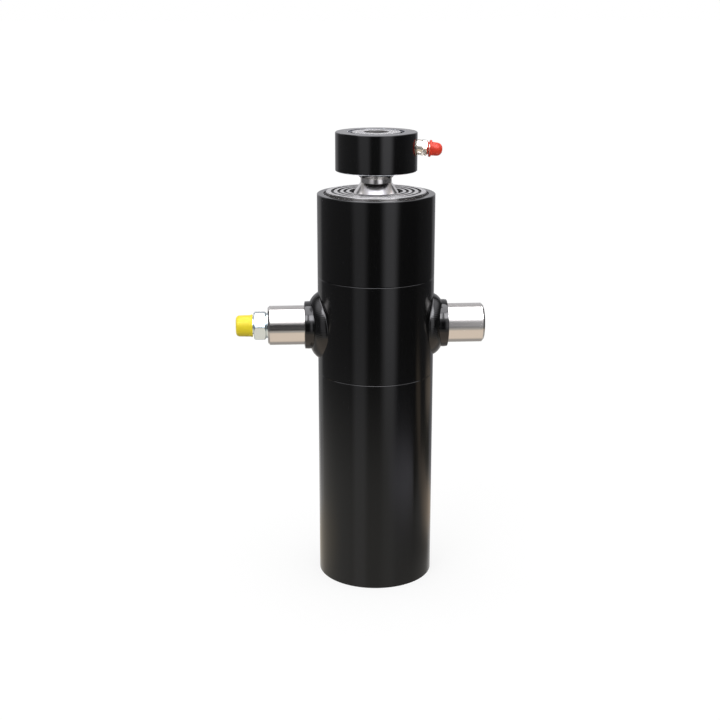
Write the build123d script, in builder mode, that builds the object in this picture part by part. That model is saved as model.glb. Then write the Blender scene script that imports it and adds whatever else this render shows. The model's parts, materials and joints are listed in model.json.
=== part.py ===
from build123d import *
from math import cos, radians, sin, sqrt, tan
import os

os.makedirs("parts", exist_ok=True)

# Telescopic tipping cylinder, upright and fully closed, in millimetres.
# Z runs up its axis from the centre of the base face.
# X runs along the trunnion axis, with the oil inlet on the -X side.

# Radii, worked out from the plunger outwards
plunger_diameter = 61
plunger_wall = 5.5
stage_4_wall = 4
stage_3_wall = 4
stage_2_wall = 4.5
stage_1_wall = 6
barrel_wall = 7.5
annulus = 3.5  # space between a stage and the bore around it

# Heights of the barrel and of what stands above its rim
base_thickness = 18
base_step_height = 12
base_step_width = 2
lower_tube_height = 274
trunnion_ring_height = 124.5
upper_tube_height = 105
stage_proud = 2.5
plunger_recess = 4
rim_chamfer = 0.8
seam_chamfer = 0.7
spigot_height = 6
spigot_wall = 3.5

# Gland at the top of the barrel and of each stage
gland_land = 5
bearing_height = 20
bearing_depth = 2.5
seal_height = 10
seal_depth = 3
wiper_height = 7
wiper_depth = 3
gland_gap = 0.3

# Foot of each stage and of the plunger
collar_height = 4
collar_gap = 0.5
guide_height = 24
guide_slots = 6
guide_slot_width = 8
guide_slot_depth = 1.8
stop_height = 6
stop_depth = 1.5
foot_lip = 2
foot_ring_height = 3
foot_ring_depth = 1.2
foot_ring_reach = 2.5
ring_split = 5
plug_thickness = 12

# Clearances
running = 0.05  # radial, in a running fit
seated = 0.05  # radial, between pieces that are fixed together
side_play = 0.2  # axial, of a ring in its groove

# Trunnions
journal_diameter = 50
trunnion_rise = 60.8  # of the trunnions above the lower seam
trunnion_reach = 138
shoulder_diameter = 60
shoulder_reach = 91.4
shoulder_fillet = 3
journal_chamfer = 2.5
weld_leg = 10.5
oil_bore = 18
inlet_thread_diameter = 26.4
inlet_thread_depth = 18

# Inlet adapter, its washer and its cap
washer_diameter = 32
washer_thickness = 2
adapter_flats = 34
adapter_turn = 7  # degrees that the hexagon's front corner stands above level
adapter_hex_height = 16
hex_chamfer_angle = 35
hex_face = 0.94  # diameter of the hexagon's end faces over its width across flats
adapter_stub_diameter = 24
adapter_stub_length = 18
adapter_bore = 15
adapter_cone_depth = 6
adapter_cone_mouth = 19
inlet_cap_wall = 1.6
inlet_cap_taper = 1.5
inlet_cap_flange = 0.5
inlet_cap_flange_width = 2
inlet_cap_gap = 1.3
inlet_cap_length = 21.3
inlet_cap_round = 4.5
cap_play = 0.3

# Ball stud
flange_height = 2.5
flare_height = 15.2
flare_foot_inset = 0.4
neck_diameter = 38.8
neck_length = 5.4
neck_blend = 10
ball_diameter = 60
ball_flat_diameter = 33
stud_spigot_length = 30

# Head
head_diameter = 102
head_height = 48
head_below_ball = 14
head_floor = 5
head_mouth_clearance = 1
head_chamfer = 0.8
mouth_chamfer = 3
socket_wall = 5.4
seat_split = 0.4
boss_diameter = 60.6
boss_recess = 0.2
boss_hole_diameter = 31.2
circlip_thickness = 2.5
circlip_recess = 1.8
circlip_groove_depth = 1.8
circlip_wide = 6.6
circlip_narrow = 4.2
circlip_gap = 9
circlip_gap_angle = 35
circlip_lug = 4.4
circlip_lug_hole = 2.2

# Grease nipple and its cap
nipple_below_top = 19.3
nipple_droop = 7
spot_face_depth = 2.4
nipple_thread_diameter = 10
nipple_thread_length = 11
nipple_collar_diameter = 19
nipple_collar_height = 7.4
nipple_flats = 19
nipple_face_diameter = 14.5
nipple_hex_height = 8.6
nipple_neck_diameter = 12
nipple_neck_height = 3
nipple_head_diameter = 13
nipple_head_height = 5
grease_bore = 4
grease_groove_depth = 1.2
grease_groove_height = 7
nipple_cap_gap = 1.3
nipple_cap_wall = 1.65
nipple_cap_flange_diameter = 21
nipple_cap_flange_width = 2.4
nipple_cap_length = 16.4
nipple_cap_taper = 1.5
nipple_cap_round = 6.8

# Stands a cylinder or cone on the plane that places it
on_end = (Align.CENTER, Align.CENTER, Align.MIN)

# Worked out radii
plunger_radius = plunger_diameter / 2
stage_4_radius = plunger_radius + annulus + stage_4_wall
stage_3_radius = stage_4_radius + annulus + stage_3_wall
stage_2_radius = stage_3_radius + annulus + stage_2_wall
stage_1_radius = stage_2_radius + annulus + stage_1_wall
barrel_bore_radius = stage_1_radius + annulus
barrel_radius = barrel_bore_radius + barrel_wall
stage_radii = [stage_1_radius, stage_2_radius, stage_3_radius, stage_4_radius, plunger_radius]

# Worked out heights
trunnion_height = lower_tube_height + trunnion_rise
upper_seam_height = lower_tube_height + trunnion_ring_height
barrel_height = upper_seam_height + upper_tube_height
stage_top = barrel_height + stage_proud
plunger_top = barrel_height - plunger_recess
gland_height = wiper_height + seal_height + bearing_height + 3 * gland_land
foot_step = foot_lip + foot_ring_height
foot_heights = [base_thickness + index * foot_step for index in range(len(stage_radii))]
neck_top = plunger_top + flange_height + flare_height + neck_length
neck_radius = neck_diameter / 2
ball_radius = ball_diameter / 2
ball_height = neck_top + sqrt(ball_radius**2 - neck_radius**2)
head_bottom = ball_height - head_below_ball
head_top = head_bottom + head_height


def save(piece, name):
    """Label a finished piece and write it under its own name."""
    piece.part.label = name
    export_step(piece.part, f"parts/{name}.step")


def turned(outline):
    """Turn a closed outline of (radius, height) points about the cylinder's axis."""
    with BuildPart() as piece:
        with BuildSketch(Plane.YZ):
            with BuildLine():
                Polyline(*outline, close=True)
            make_face()
        revolve(axis=Axis.Z)
    return piece


def gland_outline(inner_radius, top):
    """The stepped bore of a gland, from its stop shoulder up to the rim."""
    shoulder = top - gland_height
    land_radius = inner_radius + gland_gap
    bearing_radius = inner_radius + bearing_depth + seated
    seal_radius = inner_radius + seal_depth + seated
    wiper_radius = inner_radius + wiper_depth + seated
    bearing_low = shoulder + gland_land
    bearing_high = bearing_low + bearing_height
    seal_low = bearing_high + gland_land
    seal_high = seal_low + seal_height
    wiper_low = seal_high + gland_land
    return [
        (inner_radius + annulus, shoulder),
        (land_radius, shoulder),
        (land_radius, bearing_low),
        (bearing_radius, bearing_low),
        (bearing_radius, bearing_high),
        (land_radius, bearing_high),
        (land_radius, seal_low),
        (seal_radius, seal_low),
        (seal_radius, seal_high),
        (land_radius, seal_high),
        (land_radius, wiper_low),
        (wiper_radius, wiper_low),
        (wiper_radius, top),
    ]


def stop_top(foot):
    """Height of the top of the stop ring on a stage that stands at a foot height."""
    return foot + collar_height + guide_height + side_play / 2 + stop_height


def foot_outline(outer_radius, foot):
    """The outside of a stage's foot, from the stop ring's groove down to its end."""
    guide_high = foot + collar_height + guide_height
    return [
        (outer_radius, guide_high + stop_height + side_play),
        (outer_radius - stop_depth, guide_high + stop_height + side_play),
        (outer_radius - stop_depth, guide_high),
        (outer_radius, guide_high),
        (outer_radius, foot + collar_height),
        (outer_radius + annulus - collar_gap, foot + collar_height),
        (outer_radius + annulus - collar_gap, foot),
    ]


def stage_tube(outer_radius, inner_radius, foot):
    """A hollow stage, with its foot collar, its grooves and its gland."""
    bore_radius = inner_radius + annulus
    ring_low = foot + foot_lip
    ring_high = ring_low + foot_ring_height + side_play
    foot_ring_groove = [
        (bore_radius, foot),
        (bore_radius, ring_low),
        (bore_radius + foot_ring_depth, ring_low),
        (bore_radius + foot_ring_depth, ring_high),
        (bore_radius, ring_high),
    ]
    outline = (
        [(outer_radius, stage_top)]
        + foot_outline(outer_radius, foot)
        + foot_ring_groove
        + gland_outline(inner_radius, stage_top)
    )
    tube = turned(outline)
    with tube:
        rim = tube.edges().filter_by(GeomType.CIRCLE).group_by(Axis.Z)[-1]
        chamfer(rim.sort_by(SortBy.RADIUS)[-1], rim_chamfer)
    return tube


def split_ring(inner_radius, outer_radius, low, height):
    """A snap ring, cut through on its +Y side."""
    with BuildPart() as ring:
        with BuildSketch(Plane.XY.offset(low)):
            Circle(outer_radius)
            Circle(inner_radius, mode=Mode.SUBTRACT)
            with Locations((0, outer_radius)):
                Rectangle(ring_split, 2 * outer_radius - 2, mode=Mode.SUBTRACT)
        extrude(amount=height)
    return ring


def guide_ring(outer_radius, foot):
    """The bearing ring at a stage's foot, with oil slots down its outside."""
    guide_radius = outer_radius + annulus - running
    with BuildPart() as ring:
        with BuildSketch(Plane.XY.offset(foot + collar_height)):
            Circle(guide_radius)
            Circle(outer_radius + seated, mode=Mode.SUBTRACT)
            with PolarLocations(guide_radius, guide_slots):
                Rectangle(2 * guide_slot_depth, guide_slot_width, mode=Mode.SUBTRACT)
        extrude(amount=guide_height)
    return ring


def stop_ring(outer_radius, foot):
    """The ring that ends a stage's stroke against the gland outside it."""
    return split_ring(
        outer_radius - stop_depth + seated,
        outer_radius + annulus - collar_gap,
        stop_top(foot) - stop_height,
        stop_height,
    )


def foot_ring(bore_radius, foot):
    """The ring in a stage's bore that the next stage stands on."""
    return split_ring(
        bore_radius - foot_ring_reach,
        bore_radius + foot_ring_depth - seated,
        foot + foot_lip,
        foot_ring_height,
    )


def bearing(inner_radius, top):
    """The plain bearing in a gland."""
    low = top - gland_height + gland_land
    return turned([
        (inner_radius + running, low),
        (inner_radius + bearing_depth, low),
        (inner_radius + bearing_depth, low + bearing_height),
        (inner_radius + running, low + bearing_height),
    ])


def rod_seal(inner_radius, top):
    """A lip seal, with its lips down towards the oil."""
    low = top - gland_height + bearing_height + 2 * gland_land
    high = low + seal_height
    middle = inner_radius + (running + seal_depth) / 2
    lip = seal_depth / 4
    return turned([
        (inner_radius + running, low + lip),
        (inner_radius + running + lip / 2, low),
        (middle, low + seal_height / 2),
        (inner_radius + seal_depth - lip / 2, low),
        (inner_radius + seal_depth, low + lip),
        (inner_radius + seal_depth, high - side_play),
        (inner_radius + gland_gap, high - side_play),
        (inner_radius + running, high - lip),
    ])


def wiper(inner_radius, top):
    """The scraper in a gland's mouth, with one lip up against the stage."""
    low = top - wiper_height
    lip = wiper_depth / 4
    return turned([
        (inner_radius + running, top - lip),
        (inner_radius + running + lip, top - lip / 2),
        (inner_radius + 2 * lip, top - 3 * lip),
        (inner_radius + wiper_depth, top - 2 * lip),
        (inner_radius + wiper_depth, low),
        (inner_radius + gland_gap + running, low),
        (inner_radius + gland_gap + running, low + 2 * lip),
    ])


# Base plate, stepped into the foot of the lower tube
base_plate = turned([
    (0, 0),
    (barrel_bore_radius + base_step_width - seated, 0),
    (barrel_bore_radius + base_step_width - seated, base_step_height),
    (barrel_bore_radius - seated, base_step_height),
    (barrel_bore_radius - seated, base_thickness),
    (0, base_thickness),
])
save(base_plate, "base_plate")

# Lower barrel tube, counterbored for the base plate and for the ring's spigot
spigot_radius = barrel_bore_radius + spigot_wall
lower_barrel_tube = turned([
    (barrel_bore_radius + base_step_width, 0),
    (barrel_radius, 0),
    (barrel_radius, lower_tube_height - seam_chamfer),
    (barrel_radius - seam_chamfer, lower_tube_height),
    (spigot_radius + seated, lower_tube_height),
    (spigot_radius + seated, lower_tube_height - spigot_height - side_play),
    (barrel_bore_radius, lower_tube_height - spigot_height - side_play),
    (barrel_bore_radius, base_step_height),
    (barrel_bore_radius + base_step_width, base_step_height),
])
save(lower_barrel_tube, "lower_barrel_tube")

# Trunnion ring, with a spigot at each end and a bore across it for the trunnions
trunnion_ring = turned([
    (barrel_bore_radius, lower_tube_height - spigot_height),
    (spigot_radius, lower_tube_height - spigot_height),
    (spigot_radius, lower_tube_height),
    (barrel_radius - seam_chamfer, lower_tube_height),
    (barrel_radius, lower_tube_height + seam_chamfer),
    (barrel_radius, upper_seam_height - seam_chamfer),
    (barrel_radius - seam_chamfer, upper_seam_height),
    (spigot_radius, upper_seam_height),
    (spigot_radius, upper_seam_height + spigot_height),
    (barrel_bore_radius, upper_seam_height + spigot_height),
])
with trunnion_ring:
    with Locations((0, 0, trunnion_height)):
        Cylinder(
            journal_diameter / 2 + seated,
            4 * barrel_radius,
            rotation=(0, 90, 0),
            mode=Mode.SUBTRACT,
        )
save(trunnion_ring, "trunnion_ring")

# Upper barrel tube, with the first stage's gland in its rim
upper_barrel_tube = turned(
    [
        (barrel_radius - rim_chamfer, barrel_height),
        (barrel_radius, barrel_height - rim_chamfer),
        (barrel_radius, upper_seam_height + seam_chamfer),
        (barrel_radius - seam_chamfer, upper_seam_height),
        (spigot_radius + seated, upper_seam_height),
        (spigot_radius + seated, upper_seam_height + spigot_height + side_play),
        (barrel_bore_radius, upper_seam_height + spigot_height + side_play),
    ]
    + gland_outline(stage_1_radius, barrel_height)
)
save(upper_barrel_tube, "upper_barrel_tube")

save(bearing(stage_1_radius, barrel_height), "barrel_gland_bearing")
save(rod_seal(stage_1_radius, barrel_height), "barrel_rod_seal")
save(wiper(stage_1_radius, barrel_height), "barrel_wiper")

# The four hollow stages, outermost first
for index, outer_radius in enumerate(stage_radii[:-1]):
    name = f"stage_{index + 1}"
    inner_radius = stage_radii[index + 1]
    foot = foot_heights[index]
    save(stage_tube(outer_radius, inner_radius, foot), f"{name}_tube")
    save(guide_ring(outer_radius, foot), f"{name}_guide_ring")
    save(stop_ring(outer_radius, foot), f"{name}_stop_ring")
    save(foot_ring(inner_radius + annulus, foot), f"{name}_foot_ring")
    save(bearing(inner_radius, stage_top), f"{name}_gland_bearing")
    save(rod_seal(inner_radius, stage_top), f"{name}_rod_seal")
    save(wiper(inner_radius, stage_top), f"{name}_wiper")

# Plunger tube, closed by a plug at its foot
plunger_foot = foot_heights[-1]
plunger_bore_radius = plunger_radius - plunger_wall
plunger_tube = turned(
    [(plunger_bore_radius, plunger_top), (plunger_radius, plunger_top)]
    + foot_outline(plunger_radius, plunger_foot)
    + [(plunger_bore_radius, plunger_foot)]
)
save(plunger_tube, "plunger_tube")

with BuildPart() as plunger_foot_plug:
    with BuildSketch(Plane.XY.offset(plunger_foot)):
        Circle(plunger_bore_radius - seated)
    extrude(amount=plug_thickness)
save(plunger_foot_plug, "plunger_foot_plug")

save(guide_ring(plunger_radius, plunger_foot), "plunger_guide_ring")
save(stop_ring(plunger_radius, plunger_foot), "plunger_stop_ring")

# Ball stud: spigot, flange, flared waist and ball with a flat top
flange_top = plunger_top + flange_height
flare_top = flange_top + flare_height
ball_flat_radius = ball_flat_diameter / 2
ball_flat_height = ball_height + sqrt(ball_radius**2 - ball_flat_radius**2)
stud_spigot_radius = plunger_bore_radius - seated
with BuildPart() as ball_stud:
    with BuildSketch(Plane.XZ) as stud_section:
        with BuildLine():
            Polyline(
                (ball_flat_radius, ball_flat_height),
                (0, ball_flat_height),
                (0, plunger_top - stud_spigot_length),
                (stud_spigot_radius, plunger_top - stud_spigot_length),
                (stud_spigot_radius, plunger_top),
                (plunger_radius, plunger_top),
                (plunger_radius, flange_top - flare_foot_inset),
                (plunger_radius - flare_foot_inset, flange_top),
                (neck_radius, flare_top),
                (neck_radius, neck_top),
            )
            ThreePointArc(
                (neck_radius, neck_top),
                (ball_radius, ball_height),
                (ball_flat_radius, ball_flat_height),
            )
        make_face()
        waist = stud_section.vertices().sort_by_distance((neck_radius, 0, flare_top))[0]
        fillet(waist, min(neck_blend, 2 * neck_length))
    revolve(axis=Axis.Z)
save(ball_stud, "ball_stud")

# Socket housing, a ring with a floor that catches the ball seat
socket_radius = ball_radius + socket_wall
housing_radius = head_diameter / 2
housing_bore_radius = socket_radius + seated
mouth_radius = ball_radius + head_mouth_clearance
circlip_low = head_top - circlip_recess - circlip_thickness
circlip_groove_radius = housing_bore_radius + circlip_groove_depth
nipple_height = head_top - nipple_below_top
droop = radians(nipple_droop)
nipple_axis = Vector(cos(droop), 0, -sin(droop))
nipple_plane = Plane(
    origin=(housing_radius, 0, nipple_height), x_dir=(0, 1, 0), z_dir=nipple_axis
)
socket_housing = turned([
    (mouth_radius + mouth_chamfer, head_bottom),
    (housing_radius - head_chamfer, head_bottom),
    (housing_radius, head_bottom + head_chamfer),
    (housing_radius, head_top - head_chamfer),
    (housing_radius - head_chamfer, head_top),
    (housing_bore_radius, head_top),
    (housing_bore_radius, head_top - circlip_recess),
    (circlip_groove_radius, head_top - circlip_recess),
    (circlip_groove_radius, circlip_low - side_play),
    (housing_bore_radius, circlip_low - side_play),
    (housing_bore_radius, head_bottom + head_floor),
    (mouth_radius, head_bottom + head_floor),
    (mouth_radius, head_bottom + mouth_chamfer),
])
with socket_housing:
    with Locations(nipple_plane.offset(-spot_face_depth)):
        Cylinder(
            nipple_collar_diameter / 2 + cap_play,
            2 * spot_face_depth,
            align=on_end,
            mode=Mode.SUBTRACT,
        )
    with Locations(nipple_plane.offset(-spot_face_depth - nipple_thread_length)):
        Cylinder(
            nipple_thread_diameter / 2 + seated,
            2 * nipple_thread_length,
            align=on_end,
            mode=Mode.SUBTRACT,
        )
    with Locations(nipple_plane.offset(socket_radius - housing_radius - socket_wall)):
        Cylinder(grease_bore / 2, 2 * nipple_thread_length, align=on_end, mode=Mode.SUBTRACT)
save(socket_housing, "socket_housing")

# Ball seat, in two halves so that it goes round the neck
seat_radius = ball_radius + running
seat_low = head_bottom + head_floor
seat_mouth_radius = sqrt(seat_radius**2 - (ball_height - seat_low) ** 2)
with BuildPart() as ball_seat_halves:
    with BuildSketch(Plane.XZ):
        with BuildLine():
            seat_arc = RadiusArc(
                (seat_mouth_radius, seat_low), (seat_radius, ball_height), -seat_radius
            )
            Polyline(
                seat_arc @ 1,
                (socket_radius, ball_height),
                (socket_radius, seat_low),
                seat_arc @ 0,
            )
        make_face()
    revolve(axis=Axis.Z)
    with Locations((0, 0, ball_height)):
        Box(2 * housing_radius, seat_split, head_height, mode=Mode.SUBTRACT)
save(ball_seat_halves, "ball_seat_halves")

# Thrust cap over the ball, with a raised boss and a hole through it
boss_radius = boss_diameter / 2
boss_hole_radius = boss_hole_diameter / 2
cap_flange_top = circlip_low
pocket_top = ball_height + sqrt(seat_radius**2 - boss_hole_radius**2)
grease_height = nipple_height + tan(droop) * (housing_radius - socket_radius)
with BuildPart() as thrust_cap:
    with BuildSketch(Plane.XZ):
        with BuildLine():
            pocket_arc = RadiusArc(
                (boss_hole_radius, pocket_top),
                (seat_radius, ball_height + side_play),
                seat_radius,
            )
            Polyline(
                pocket_arc @ 1,
                (socket_radius, ball_height + side_play),
                (socket_radius, grease_height - grease_groove_height / 2),
                (socket_radius - grease_groove_depth, grease_height - grease_groove_height / 2),
                (socket_radius - grease_groove_depth, grease_height + grease_groove_height / 2),
                (socket_radius, grease_height + grease_groove_height / 2),
                (socket_radius, cap_flange_top),
                (boss_radius, cap_flange_top),
                (boss_radius, head_top - boss_recess),
                (boss_hole_radius, head_top - boss_recess),
                pocket_arc @ 0,
            )
        make_face()
    revolve(axis=Axis.Z)
    with Locations((0, 0, grease_height)):
        Cylinder(
            grease_bore / 2,
            socket_radius,
            rotation=(0, 90, 0),
            align=on_end,
            mode=Mode.SUBTRACT,
        )
save(thrust_cap, "thrust_cap")

# Circlip in the housing's groove, widest opposite its gap
circlip_outer = circlip_groove_radius - seated
circlip_inner = circlip_outer - (circlip_wide + circlip_narrow) / 2
circlip_offset = (circlip_wide - circlip_narrow) / 2
lug_centre = boss_radius + seated + circlip_lug / 2
lug_angle = (circlip_gap + circlip_lug) / 2 / radians(1) / lug_centre
with BuildPart() as circlip:
    with BuildSketch(Plane.XY.offset(circlip_low)):
        Circle(circlip_outer)
        with PolarLocations(circlip_offset, 1, start_angle=circlip_gap_angle):
            Circle(circlip_inner, mode=Mode.SUBTRACT)
        with PolarLocations(circlip_outer, 1, start_angle=circlip_gap_angle):
            Rectangle(4 * circlip_wide, circlip_gap, mode=Mode.SUBTRACT)
        for side in (-1, 1):
            with PolarLocations(lug_centre, 1, start_angle=circlip_gap_angle + side * lug_angle):
                Circle(circlip_lug / 2)
                Circle(circlip_lug_hole / 2, mode=Mode.SUBTRACT)
    extrude(amount=circlip_thickness)
save(circlip, "circlip")

# Grease nipple, drooping a little from its spot face
collar_base = -spot_face_depth
hex_base = collar_base + nipple_collar_height
neck_base = hex_base + nipple_hex_height
nipple_head_base = neck_base + nipple_neck_height
nipple_end = nipple_head_base + nipple_head_height
with BuildPart() as grease_nipple:
    with BuildSketch(nipple_plane.offset(hex_base)):
        RegularPolygon(nipple_flats / 2, 6, major_radius=False)
    extrude(amount=nipple_hex_height)
    with Locations(nipple_plane.offset(hex_base)):
        Cone(
            nipple_face_diameter / 2 + nipple_hex_height,
            nipple_face_diameter / 2,
            nipple_hex_height,
            align=on_end,
            mode=Mode.INTERSECT,
        )
    with BuildSketch(nipple_plane.offset(collar_base)):
        Circle(nipple_collar_diameter / 2)
    extrude(amount=nipple_collar_height)
    with BuildSketch(nipple_plane.offset(collar_base)):
        Circle(nipple_thread_diameter / 2)
    extrude(amount=-nipple_thread_length)
    with BuildSketch(nipple_plane.offset(neck_base)):
        Circle(nipple_neck_diameter / 2)
    extrude(amount=nipple_neck_height)
    with BuildSketch(nipple_plane.offset(nipple_head_base)):
        Circle(nipple_head_diameter / 2)
    extrude(amount=nipple_head_height)
    with BuildSketch(nipple_plane.offset(nipple_end)):
        Circle(grease_bore / 2)
    extrude(amount=-nipple_end - nipple_thread_length + collar_base, mode=Mode.SUBTRACT)
save(grease_nipple, "grease_nipple")

# Red cap, pushed over the nipple's head
nipple_cap_inner = nipple_head_diameter / 2 + cap_play
nipple_cap_radius = nipple_cap_inner + nipple_cap_wall
nipple_cap_low = neck_base + nipple_cap_gap
nipple_cap_end = nipple_cap_low + nipple_cap_length
with BuildPart() as nipple_cap:
    with BuildSketch(nipple_plane.offset(nipple_cap_low)):
        Circle(nipple_cap_radius)
    extrude(amount=nipple_cap_length, taper=nipple_cap_taper)
    fillet(nipple_cap.faces().sort_by(Axis((0, 0, 0), nipple_axis))[-1].edges(), nipple_cap_round)
    with BuildSketch(nipple_plane.offset(nipple_cap_low)):
        Circle(nipple_cap_flange_diameter / 2)
    extrude(amount=nipple_cap_flange_width)
    with BuildSketch(nipple_plane.offset(nipple_cap_low)):
        Circle(nipple_cap_inner)
    extrude(amount=nipple_end - nipple_cap_low, mode=Mode.SUBTRACT)
    with Locations(nipple_plane.offset(nipple_end)):
        Cone(
            nipple_cap_inner,
            nipple_cap_inner / 2,
            nipple_cap_end - nipple_cap_wall - nipple_end,
            align=on_end,
            mode=Mode.SUBTRACT,
        )
save(nipple_cap, "nipple_cap")


def trunnion(side):
    """A shouldered trunnion pin, let into the ring; side is -1 or 1 along X."""
    outward = (0, 90 * side, 0)
    with BuildPart() as pin:
        with Locations((0, 0, trunnion_height)):
            Cylinder(shoulder_diameter / 2, shoulder_reach, rotation=outward, align=on_end)
        rim = pin.edges().sort_by(Axis.X)[-1 if side > 0 else 0]
        fillet(rim, shoulder_fillet)
        Cylinder(barrel_radius, 2 * barrel_height, mode=Mode.SUBTRACT)
        with Locations((0, 0, trunnion_height)):
            Cylinder(journal_diameter / 2, trunnion_reach, rotation=outward, align=on_end)
        end = pin.faces().filter_by(Axis.X).sort_by(Axis.X)[-1 if side > 0 else 0]
        chamfer(end.edges(), journal_chamfer)
        Cylinder(barrel_bore_radius, 2 * barrel_height, mode=Mode.SUBTRACT)
    return pin


def trunnion_weld(side):
    """The weld round a trunnion's shoulder, which follows the barrel as a saddle."""
    outward = (0, 90 * side, 0)
    with BuildPart() as weld:
        with Locations((0, 0, trunnion_height)):
            Cylinder(barrel_radius, trunnion_ring_height)
            Cylinder(shoulder_diameter / 2, shoulder_reach, rotation=outward, align=on_end)
        curved = weld.edges().filter_by(GeomType.LINE, reverse=True)
        seam = curved.filter_by(GeomType.CIRCLE, reverse=True)
        chamfer(seam, weld_leg)
        with Locations((0, 0, trunnion_height)):
            Cylinder(barrel_radius, 2 * trunnion_ring_height, mode=Mode.SUBTRACT)
            Cylinder(
                shoulder_diameter / 2 + seated,
                2 * shoulder_reach,
                rotation=outward,
                align=on_end,
                mode=Mode.SUBTRACT,
            )
    return weld


# Right trunnion, solid
save(trunnion(1), "trunnion_right")
save(trunnion_weld(1), "trunnion_weld_right")
save(trunnion_weld(-1), "trunnion_weld_left")

# Left trunnion, with the oil bore and the socket for the adapter
inlet_plane = Plane(origin=(-trunnion_reach, 0, trunnion_height), x_dir=(0, 1, 0), z_dir=(-1, 0, 0))
trunnion_left = trunnion(-1)
with trunnion_left:
    with Locations(inlet_plane.offset(-inlet_thread_depth)):
        Cylinder(
            inlet_thread_diameter / 2 + seated,
            2 * inlet_thread_depth,
            align=on_end,
            mode=Mode.SUBTRACT,
        )
    with Locations(inlet_plane.offset(-trunnion_reach)):
        Cylinder(oil_bore / 2, trunnion_reach, align=on_end, mode=Mode.SUBTRACT)
save(trunnion_left, "trunnion_left")

with BuildPart() as adapter_washer:
    with BuildSketch(inlet_plane):
        Circle(washer_diameter / 2)
        Circle(inlet_thread_diameter / 2 + seated, mode=Mode.SUBTRACT)
    extrude(amount=washer_thickness)
save(adapter_washer, "adapter_washer")

# Inlet adapter, a hexagon between two threaded ends
hex_low = washer_thickness
hex_high = hex_low + adapter_hex_height
adapter_face_radius = hex_face * adapter_flats / 2
stub_end = hex_high + adapter_stub_length
with BuildPart() as inlet_adapter:
    with BuildSketch(inlet_plane.offset(hex_low)):
        RegularPolygon(adapter_flats / 2, 6, major_radius=False, rotation=adapter_turn)
    extrude(amount=adapter_hex_height)
    with Locations(inlet_plane.offset(hex_low)):
        Cone(
            adapter_face_radius + adapter_hex_height / tan(radians(hex_chamfer_angle)),
            adapter_face_radius,
            adapter_hex_height,
            align=on_end,
            mode=Mode.INTERSECT,
        )
        Cone(
            adapter_face_radius,
            adapter_face_radius + adapter_hex_height / tan(radians(hex_chamfer_angle)),
            adapter_hex_height,
            align=on_end,
            mode=Mode.INTERSECT,
        )
    with BuildSketch(inlet_plane.offset(hex_low)):
        Circle(inlet_thread_diameter / 2)
    extrude(amount=-inlet_thread_depth)
    with BuildSketch(inlet_plane.offset(hex_high)):
        Circle(adapter_stub_diameter / 2)
    extrude(amount=adapter_stub_length)
    with BuildSketch(inlet_plane.offset(stub_end)):
        Circle(adapter_bore / 2)
    extrude(amount=-stub_end - inlet_thread_depth, mode=Mode.SUBTRACT)
    with Locations(inlet_plane.offset(stub_end - adapter_cone_depth)):
        Cone(
            adapter_bore / 2,
            adapter_cone_mouth / 2,
            adapter_cone_depth,
            align=on_end,
            mode=Mode.SUBTRACT,
        )
save(inlet_adapter, "inlet_adapter")

# Yellow cap over the adapter's free end
inlet_cap_low = hex_high + inlet_cap_gap
inlet_cap_inner = adapter_stub_diameter / 2 + cap_play
inlet_cap_radius = inlet_cap_inner + inlet_cap_wall
with BuildPart() as inlet_cap:
    with BuildSketch(inlet_plane.offset(inlet_cap_low)):
        Circle(inlet_cap_radius)
    extrude(amount=inlet_cap_length, taper=inlet_cap_taper)
    fillet(inlet_cap.faces().sort_by(Axis.X)[0].edges(), inlet_cap_round)
    with BuildSketch(inlet_plane.offset(inlet_cap_low)):
        Circle(inlet_cap_radius + inlet_cap_flange)
    extrude(amount=inlet_cap_flange_width)
    with BuildSketch(inlet_plane.offset(inlet_cap_low)):
        Circle(inlet_cap_inner)
    extrude(amount=stub_end + cap_play - inlet_cap_low, mode=Mode.SUBTRACT)
save(inlet_cap, "inlet_cap")
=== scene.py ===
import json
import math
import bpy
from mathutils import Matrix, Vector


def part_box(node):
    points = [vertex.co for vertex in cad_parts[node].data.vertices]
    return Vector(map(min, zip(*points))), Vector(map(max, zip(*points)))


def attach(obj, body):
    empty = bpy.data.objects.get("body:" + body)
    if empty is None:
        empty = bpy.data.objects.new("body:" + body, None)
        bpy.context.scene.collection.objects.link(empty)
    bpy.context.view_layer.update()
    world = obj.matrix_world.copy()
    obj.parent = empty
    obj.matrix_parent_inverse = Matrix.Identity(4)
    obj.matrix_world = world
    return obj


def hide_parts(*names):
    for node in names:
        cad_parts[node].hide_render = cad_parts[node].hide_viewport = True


bl_info = {
    "name": "Trailer Tipping Cylinder",
    "version": (1, 0, 0),
    "blender": (4, 5, 0),
    "location": "View3D > Sidebar > Tipping Cylinder",
    "description": "Dresses the packed tipping cylinder with finished pieces, materials and a studio",
    "category": "Object",
}

import bmesh
import bpy
from bpy.props import FloatProperty, FloatVectorProperty, IntProperty, PointerProperty
from mathutils import Matrix, Vector

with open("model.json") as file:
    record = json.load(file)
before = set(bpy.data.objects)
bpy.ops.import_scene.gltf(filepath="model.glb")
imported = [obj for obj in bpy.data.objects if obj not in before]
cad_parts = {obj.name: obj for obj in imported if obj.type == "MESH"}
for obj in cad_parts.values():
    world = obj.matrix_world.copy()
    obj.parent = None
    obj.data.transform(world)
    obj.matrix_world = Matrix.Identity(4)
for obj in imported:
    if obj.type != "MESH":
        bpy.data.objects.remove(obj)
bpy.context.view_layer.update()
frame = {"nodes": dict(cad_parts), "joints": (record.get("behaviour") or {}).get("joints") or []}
nodes = frame["nodes"]
joints = {joint["name"]: joint for joint in frame["joints"]}

# Places read from the frame, in metres
pin_low, pin_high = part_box("trunnion_right")
adapter_low, adapter_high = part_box("inlet_adapter")
inlet_cap_low, inlet_cap_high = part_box("inlet_cap")
head_low, head_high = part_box("socket_housing")

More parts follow.
